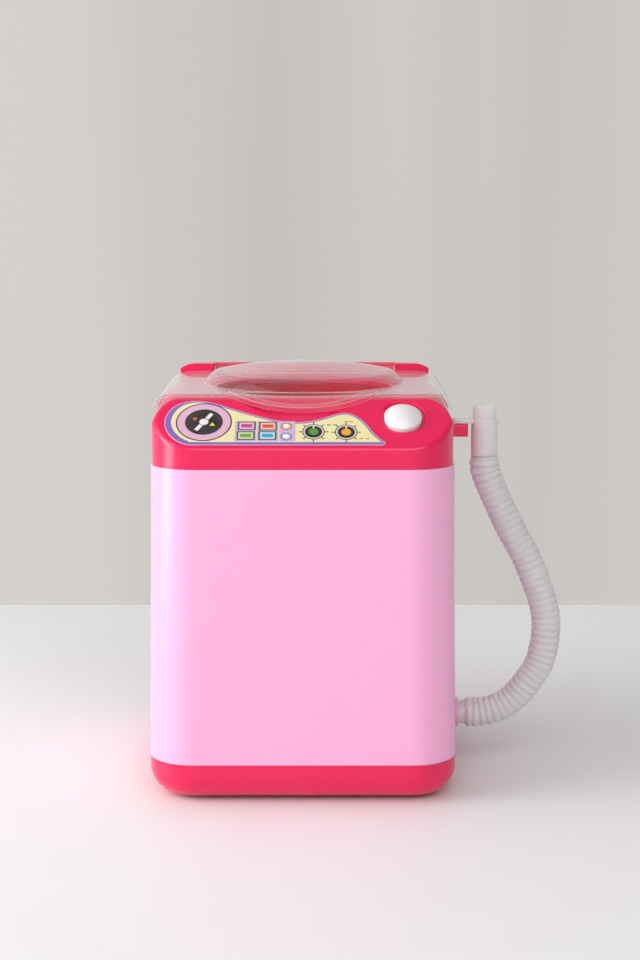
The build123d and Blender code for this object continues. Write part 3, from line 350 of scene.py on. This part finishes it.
# ---------------------------------------------------------------- mesh helpers
def added(name, mesh_source, material):
    """Puts a bmesh in the scene as a named object."""
    mesh = bpy.data.meshes.new(name)
    mesh_source.to_mesh(mesh)
    mesh_source.free()
    mesh.materials.append(material)
    made = bpy.data.objects.new(name, mesh)
    bpy.context.scene.collection.objects.link(made)
    return made


def piece(name, mesh_source, body, material, smooth=True):
    """Turns a bmesh into a named object that rides on a CAD body."""
    bmesh.ops.recalc_face_normals(mesh_source, faces=mesh_source.faces)
    made = added(name, mesh_source, material)
    for face in made.data.polygons:
        face.use_smooth = smooth
    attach(made, body)
    return made


def bridge(mesh_source, first, second):
    """Joins two loops of the same length with quads."""
    for i, corner in enumerate(first):
        after = (i + 1) % len(first)
        mesh_source.faces.new((corner, first[after], second[after], second[i]))


# ---------------------------------------------------------------- corrugated drain hose
HOSE_ROUND = 56          # points round the hose
RING_PITCH = 2.3 * MM
RING_CREST = 5.1 * MM
RING_GROOVE = 4.5 * MM
RING_STEPS = 10          # points along one ring
PLAIN_END = 4.05 * MM    # smooth lower end that pushes onto the spout
PLAIN_LENGTH = 4.6 * MM
HOSE_BORE = 3.1 * MM
HOSE_WALL = 1.0 * MM
CAD_HOSE_R = 4.7 * MM
RING_SQUARENESS = 3.0    # higher makes the rings flatter and the grooves narrower
RING_SIZE_SPREAD = 0.012

hose_low, hose_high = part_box("drain_hose")
hose_y = (hose_low.y + hose_high.y) / 2
spout_height = hose_low.z + CAD_HOSE_R
bulge_x = hose_high.x - CAD_HOSE_R
# The course of the hose: how far out towards its bulge, and how far up from spout to cuff.
hose_course = (
    (0.0, 0.0), (0.15, 0.0), (0.31, 0.001), (0.51, 0.02), (0.688, 0.066), (0.862, 0.148),
    (0.955, 0.217), (1.0, 0.331), (0.957, 0.44), (0.785, 0.6), (0.606, 0.718), (0.43, 0.848),
    (0.325, 0.94), (0.306, 1.0),
)


def course_point(across, up):
    """A point of the course in the hose's own upright plane."""
    x = hose_low.x + across * (bulge_x - hose_low.x)
    z = spout_height + up * (hose_high.z - spout_height)
    return Vector((x, hose_y, z))


def smooth_course(points, steps=24):
    """Catmull-Rom curve through the points."""
    line = [2 * points[0] - points[1], *points, 2 * points[-1] - points[-2]]
    curve = []
    for a, b, c, d in zip(line, line[1:], line[2:], line[3:]):
        pull, bend, twist = c - a, 2 * a - 5 * b + 4 * c - d, 3 * b - a - 3 * c + d
        for k in range(steps):
            t = k / steps
            curve.append(0.5 * (2 * b + pull * t + bend * t**2 + twist * t**3))
    return curve + [points[-1]]


def at_length(curve, lengths, distance):
    """Point and direction at this distance along the curve."""
    i = 1
    while i < len(curve) - 1 and lengths[i] < distance:
        i += 1
    share = (distance - lengths[i - 1]) / (lengths[i] - lengths[i - 1])
    return curve[i - 1].lerp(curve[i], share), (curve[i] - curve[i - 1]).normalized()


def hose_radius(distance, total, sizes):
    """Outer radius: a plain end, then rounded rings with narrow grooves up to the cuff."""
    ringed = distance - PLAIN_LENGTH
    if ringed < 0:
        return PLAIN_END
    ring, phase = divmod(ringed / RING_PITCH, 1.0)
    fade = min(1.0, (total - distance) / RING_PITCH)
    crest = RING_CREST * sizes[int(ring) % len(sizes)]
    bulge = 1 - abs(2 * phase - 1) ** RING_SQUARENESS
    return RING_GROOVE + (crest - RING_GROOVE) * bulge * fade


def corrugated_hose():
    """The ringed hose as one closed wall, in the place of the plain CAD tube."""
    rng = random.Random(11)
    curve = smooth_course([course_point(*pair) for pair in hose_course])
    lengths = [0.0]
    for a, b in zip(curve, curve[1:]):
        lengths.append(lengths[-1] + (b - a).length)
    total = lengths[-1]
    sizes = [1 + rng.uniform(-RING_SIZE_SPREAD, RING_SIZE_SPREAD) for _ in range(64)]
    steps = int(total / RING_PITCH * RING_STEPS)
    mesh_source = bmesh.new()
    outer_rings, inner_rings = [], []
    for k in range(steps + 1):
        distance = total * k / steps
        centre, along = at_length(curve, lengths, distance)
        across = Vector((along.z, 0, -along.x))
        outer = hose_radius(distance, total, sizes)
        for radius, rings in ((outer, outer_rings), (max(HOSE_BORE, outer - HOSE_WALL), inner_rings)):
            ring = []
            for i in range(HOSE_ROUND):
                turn = math.tau * i / HOSE_ROUND
                spot = centre + radius * (math.cos(turn) * across + math.sin(turn) * Vector((0, 1, 0)))
                ring.append(mesh_source.verts.new(spot))
            rings.append(ring)
    for rings in (outer_rings, inner_rings):
        for first, second in zip(rings, rings[1:]):
            bridge(mesh_source, first, second)
    bridge(mesh_source, outer_rings[0], inner_rings[0])
    bridge(mesh_source, outer_rings[-1], inner_rings[-1])
    return piece("corrugated_hose", mesh_source, "hose", FINISHES["hose_plastic"])


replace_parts(corrugated_hose(), "drain_hose")


# ---------------------------------------------------------------- printed control label
press = next(joint for joint in frame["joints"] if joint["name"] == "button_press")
outward = -Vector(press["axis"]).normalized()
up_slope = Vector((0, outward.z, -outward.y))
label_mesh = nodes["control_sticker"].data
label_top = max(outward.dot(vertex.co) for vertex in label_mesh.vertices)
label_bottom = min(up_slope.dot(vertex.co) for vertex in label_mesh.vertices)
LAYER = 0.02 * MM


def on_label(across, up, height):
    """A point over the label: across from the middle and up from its lower edge in mm, height in m."""
    return Vector((across * MM, 0, 0)) + up_slope * (label_bottom + up * MM) + outward * (label_top + height)


def label_outline():
    """The label's edge as (across, up) pairs, read from the CAD mesh."""
    mesh_source = bmesh.new()
    mesh_source.from_mesh(label_mesh)
    bmesh.ops.remove_doubles(mesh_source, verts=mesh_source.verts, dist=0.001 * MM)
    bmesh.ops.recalc_face_normals(mesh_source, faces=mesh_source.faces)
    upper = {face for face in mesh_source.faces if face.normal.dot(outward) > 0.9}
    links = {}
    for edge in mesh_source.edges:
        if sum(face in upper for face in edge.link_faces) == 1:
            for one, other in (edge.verts, reversed(edge.verts)):
                links.setdefault(one.index, []).append(other)
    start = next(edge for edge in mesh_source.edges if edge.verts[0].index in links).verts[0]
    walk, last = [start], None
    while True:
        following = [v for v in links[walk[-1].index] if v is not last][0]
        if following is start:
            break
        last = walk[-1]
        walk.append(following)
    outline = [(v.co.x / MM, (up_slope.dot(v.co) - label_bottom) / MM) for v in walk]
    mesh_source.free()
    area = sum(a[0] * b[1] - b[0] * a[1] for a, b in zip(outline, outline[1:] + outline[:1]))
    return outline if area > 0 else outline[::-1]


def inset(outline, distance, left=0.0, bottom=0.0):
    """The outline moved inwards; left and bottom widen the margin at the round end and below."""
    moved = []
    fade_end = min(x for x, _ in outline) + 24.0
    for before, point, after in zip(outline[-1:] + outline[:-1], outline, outline[1:] + outline[:1]):
        dx, dy = after[0] - before[0], after[1] - before[1]
        size = math.hypot(dx, dy) or 1.0
        near_left = min(1.0, max(0.0, (fade_end - point[0]) / 16.0))
        step = distance + left * near_left * max(0.0, -dy / size) + bottom * max(0.0, dx / size)
        moved.append((point[0] - dy / size * step, point[1] + dx / size * step))
    return moved


def disc(across, up, radius, points=64, turn=0.0):
    """A circle, or with few points a regular polygon, whose first point is at this turn."""
    turns = [turn + math.tau * i / points for i in range(points)]
    return [(across + radius * math.cos(t), up + radius * math.sin(t)) for t in turns]


def bar(start, end, width):
    """A rectangle along a line."""
    dx, dy = end[0] - start[0], end[1] - start[1]
    size = math.hypot(dx, dy)
    nx, ny = -dy / size * width / 2, dx / size * width / 2
    return [
        (start[0] - nx, start[1] - ny), (end[0] - nx, end[1] - ny),
        (end[0] + nx, end[1] + ny), (start[0] + nx, start[1] + ny),
    ]


def rounded_box(low, high, radius, points=6):
    """A rectangle with round corners."""
    outline = []
    centres = (
        (high[0] - radius, high[1] - radius), (low[0] + radius, high[1] - radius),
        (low[0] + radius, low[1] + radius), (high[0] - radius, low[1] + radius),
    )
    for quarter, (x, y) in enumerate(centres):
        for k in range(points + 1):
            turn = math.pi / 2 * (quarter + k / points)
            outline.append((x + radius * math.cos(turn), y + radius * math.sin(turn)))
    return outline


def printed(name, outlines, layer, color):
    """One ink layer of closed, thin prisms on the label."""
    mesh_source = bmesh.new()
    low, high = layer * LAYER, (layer + 1) * LAYER
    for outline in outlines:
        bottom = [mesh_source.verts.new(on_label(x, y, low)) for x, y in outline]
        top = [mesh_source.verts.new(on_label(x, y, high)) for x, y in outline]
        bridge(mesh_source, bottom, top)
        for corners in tessellate_polygon([[Vector((x, y, 0)) for x, y in outline]]):
            mesh_source.faces.new([top[i] for i in corners])
            mesh_source.faces.new([bottom[i] for i in reversed(corners)])
    return piece(name, mesh_source, "case", printed_ink(name + "_ink", color), smooth=False)


edge = label_outline()
printed("label_border", [inset(edge, 0.22)], 0, srgb(132, 100, 186))
printed("label_field", [inset(edge, 0.75, left=1.35, bottom=0.6)], 1, srgb(240, 231, 172))

# Positions are (across, up) in mm; the number before each colour is the ink layer.
# dial with its pointer
dial = (-32.1, 11.0)
printed("dial_rim", [disc(*dial, 9.15)], 2, srgb(44, 26, 36))
printed("dial_ring", [disc(*dial, 8.7)], 3, srgb(228, 178, 208))
printed("dial_face", [disc(*dial, 6.15)], 4, srgb(26, 16, 18))
printed("dial_groove", [disc(*dial, 5.2)], 5, srgb(84, 70, 74))
printed("dial_centre", [disc(*dial, 5.05)], 6, srgb(26, 16, 18))
pointer_turn = math.radians(59)
along = (math.cos(pointer_turn), math.sin(pointer_turn))
pointer_bars = []
for side in (-1, 1):
    start, end = [(dial[0] + side * r * along[0], dial[1] + side * r * along[1]) for r in (1.7, 4.7)]
    pointer_bars.append(bar(start, end, 1.35))
printed("dial_pointer", [disc(*dial, 1.5), *pointer_bars], 7, srgb(240, 236, 238))
printed("dial_down_mark", [disc(dial[0] - 2.95, dial[1] + 1.5, 1.1, 3, -math.pi / 2)], 7, srgb(226, 84, 52))
printed("dial_up_mark", [disc(dial[0] + 2.75, dial[1] - 1.3, 1.1, 3, math.pi / 2)], 7, srgb(238, 218, 60))

# four framed keys and two lamps on pale plates
keys = {
    "key_magenta": ((-18.1, 9.15), srgb(200, 54, 132), srgb(226, 186, 212)),
    "key_orange": ((-11.2, 9.0), srgb(218, 76, 38), srgb(242, 196, 170)),
    "key_green": ((-18.3, 4.45), srgb(110, 168, 36), srgb(206, 220, 180)),
    "key_cyan": ((-11.3, 4.45), srgb(40, 160, 206), srgb(190, 222, 240)),
}
plate_spans = ((-21.9, -15.0), (-14.7, -7.8), (-7.5, -2.3))
plates = [rounded_box((left, 1.7), (right, 11.4), 0.5) for left, right in plate_spans]
printed("key_plates", plates, 2, srgb(206, 180, 220))
frames = [rounded_box((x - 2.95, y - 2.1), (x + 2.95, y + 2.1), 0.2) for (x, y), _, _ in keys.values()]
printed("key_frames", frames, 3, srgb(82, 72, 90))
for key, ((x, y), color, field) in keys.items():
    printed(key + "_field", [rounded_box((x - 2.4, y - 1.6), (x + 2.4, y + 1.6), 0.15)], 4, field)
    printed(key, [rounded_box((x - 1.8, y - 0.8), (x + 1.8, y + 0.8), 0.15)], 5, color)
lamps = {
    "lamp_warm": ((-5.2, 8.9), srgb(150, 84, 66), srgb(244, 186, 152)),
    "lamp_cool": ((-5.2, 4.0), srgb(70, 78, 140), srgb(196, 206, 240)),
}
for lamp, ((x, y), rim, color) in lamps.items():
    printed(lamp + "_rim", [disc(x, y, 1.8, 32)], 3, rim)
    printed(lamp, [disc(x, y, 1.45, 32)], 4, color)
    printed(lamp + "_shine", [disc(x - 0.1, y + 0.2, 0.95, 32)], 5, srgb(252, 246, 242))

# two printed knobs with scale marks
knobs = {"knob_green": ((3.6, 6.3), srgb(74, 156, 34)), "knob_yellow": ((14.2, 6.1), srgb(236, 170, 24))}
for knob, ((x, y), color) in knobs.items():
    marks = []
    for i in range(8):
        cos, sin = math.cos(math.tau * i / 8), math.sin(math.tau * i / 8)
        marks.append(bar((x + 3.7 * cos, y + 3.7 * sin), (x + 4.75 * cos, y + 4.75 * sin), 0.38))
    printed(knob + "_scale", marks, 2, srgb(60, 50, 50))
    printed(knob + "_rim", [disc(x, y, 3.66)], 2, srgb(40, 32, 34))
    printed(knob + "_ring", [disc(x, y, 3.3)], 3, srgb(236, 228, 226))
    printed(knob + "_disc", [disc(x, y, 2.85)], 4, srgb(26, 18, 18))
    printed(knob, [disc(x, y, 1.6)], 5, color)
    printed(knob + "_pointer", [bar((x, y + 1.75), (x, y + 2.75), 0.5)], 5, srgb(244, 240, 236))

# short dashes where small captions stand
captions = {
    "caption_blue": ([(7.9, 9.6), (10.0, 9.6)], srgb(86, 104, 140)),
    "caption_orange": ([(13.6, 11.2), (15.2, 11.2), (18.4, 3.0), (20.4, 3.0)], srgb(222, 116, 60)),
}
for caption, (starts, color) in captions.items():
    printed(caption, [bar((x, y), (x + 1.2, y), 0.5) for x, y in starts], 2, color)


# ---------------------------------------------------------------- stage, light and camera
def sheet(name, corners, material):
    """A flat, finely divided part of the stage."""
    mesh_source = bmesh.new()
    mesh_source.faces.new([mesh_source.verts.new(corner) for corner in corners])
    bmesh.ops.subdivide_edges(mesh_source, edges=mesh_source.edges, cuts=7, use_grid_fill=True)
    made = added(name, mesh_source, material)
    return made


def table_finish():
    """A pale matt table top that vanishes from below."""
    finish = Finish("pale_table")
    clouds = finish.spread(finish.noise(3.0, 3.0), 0.0, 1.0)
    finish.set(Base_Color=finish.mix(clouds, srgb(236, 237, 238), srgb(240, 241, 242)))
    finish.set(Roughness=finish.spread(finish.noise(30.0, 4.0), 0.42, 0.52))
    finish.set(Normal=finish.relief(finish.noise(600.0, 3.0), 0.004 * MM))
    finish.front_only(finish.shader)
    return finish.material


def backdrop_finish():
    """A soft grey backdrop that only shows from the front."""
    finish = Finish("grey_backdrop")
    across = finish.noise(2.2, 2.0, (3.0, 1.0, 0.12))
    tone = finish.mix(finish.spread(across, 0.0, 1.0), srgb(196, 191, 187), srgb(212, 209, 206))
    glow = finish.node("ShaderNodeEmission", Color=tone, Strength=1.0)
    finish.front_only(glow)
    return finish.material


TABLE_EDGE = 0.238
STAGE_REACH = 4.0
WALL_TOP = 3.0
sheet(
    "table_top",
    [(-STAGE_REACH, -STAGE_REACH, 0), (STAGE_REACH, -STAGE_REACH, 0),
     (STAGE_REACH, STAGE_REACH, 0), (-STAGE_REACH, STAGE_REACH, 0)],
    table_finish(),
)
backdrop = sheet(
    "backdrop",
    [(-STAGE_REACH, TABLE_EDGE, 0), (STAGE_REACH, TABLE_EDGE, 0),
     (STAGE_REACH, TABLE_EDGE, WALL_TOP), (-STAGE_REACH, TABLE_EDGE, WALL_TOP)],
    backdrop_finish(),
)
backdrop.visible_diffuse = backdrop.visible_glossy = backdrop.visible_shadow = False


def softbox(name, place, target, width, height, power, color):
    """A soft area light aimed at a point."""
    data = bpy.data.lights.new(name, "AREA")
    data.shape = "RECTANGLE"
    data.size = width
    data.size_y = height
    data.energy = power
    data.color = color
    made = bpy.data.objects.new(name, data)
    made.location = place
    made.visible_camera = False
    made.rotation_euler = (Vector(target) - Vector(place)).to_track_quat("-Z", "Y").to_euler()
    bpy.context.scene.collection.objects.link(made)


middle = (0.0, 0.0, (cad_low.z + cad_high.z) / 2)
softbox("window_light", (-1.15, -0.35, 0.75), middle, 1.1, 1.3, 7.4, (1.0, 0.985, 0.97))
softbox("window_sill", (-0.62, -0.2, 0.16), (0, 0, 0.1), 0.3, 0.5, 2.3, (1.0, 0.99, 0.98))
softbox("front_fill", (0.2, -1.4, 1.1), middle, 1.4, 1.0, 10.0, (1.0, 0.99, 0.985))


def room_light():
    """World light: bright on the window side, dimmer to the right and overhead."""
    world = bpy.data.worlds.new("studio")
    world.use_nodes = True
    tree = world.node_tree
    place = tree.nodes.new("ShaderNodeTexCoord").outputs["Generated"]
    split = tree.nodes.new("ShaderNodeSeparateXYZ")
    tree.links.new(place, split.inputs[0])
    # brightness at the low and the high end of each axis, multiplied together
    sides = {"X": (1.72, 0.52), "Y": (0.55, 0.75), "Z": (1.45, 0.6)}
    background = tree.nodes["Background"]
    background.inputs["Color"].default_value = srgb(250, 248, 247)
    brightness = background.inputs["Strength"]
    for axis, (low_end, high_end) in sides.items():
        product = tree.nodes.new("ShaderNodeMath")
        product.operation = "MULTIPLY"
        tree.links.new(product.outputs[0], brightness)
        step = tree.nodes.new("ShaderNodeMapRange")
        tree.links.new(split.outputs[axis], step.inputs["Value"])
        step.inputs["From Min"].default_value = -1
        step.inputs["To Min"].default_value = low_end
        step.inputs["To Max"].default_value = high_end
        tree.links.new(step.outputs[0], product.inputs[0])
        brightness = product.inputs[1]
    brightness.default_value = 1.0
    return world


scene = bpy.context.scene
scene.world = room_light()
scene.view_settings.view_transform = "Standard"
scene.cycles.transparent_max_bounces = 24

EYE = Vector((0.0057, -0.630, 0.204))
PITCH_DOWN = 9.32   # degrees
camera_data = bpy.data.cameras.new("camera")
camera_data.lens = 68.6
camera_data.sensor_width = 36.0
camera = bpy.data.objects.new("camera", camera_data)
camera.location = EYE
camera.rotation_euler = (math.radians(90 - PITCH_DOWN), 0, 0)
scene.collection.objects.link(camera)
scene.camera = camera
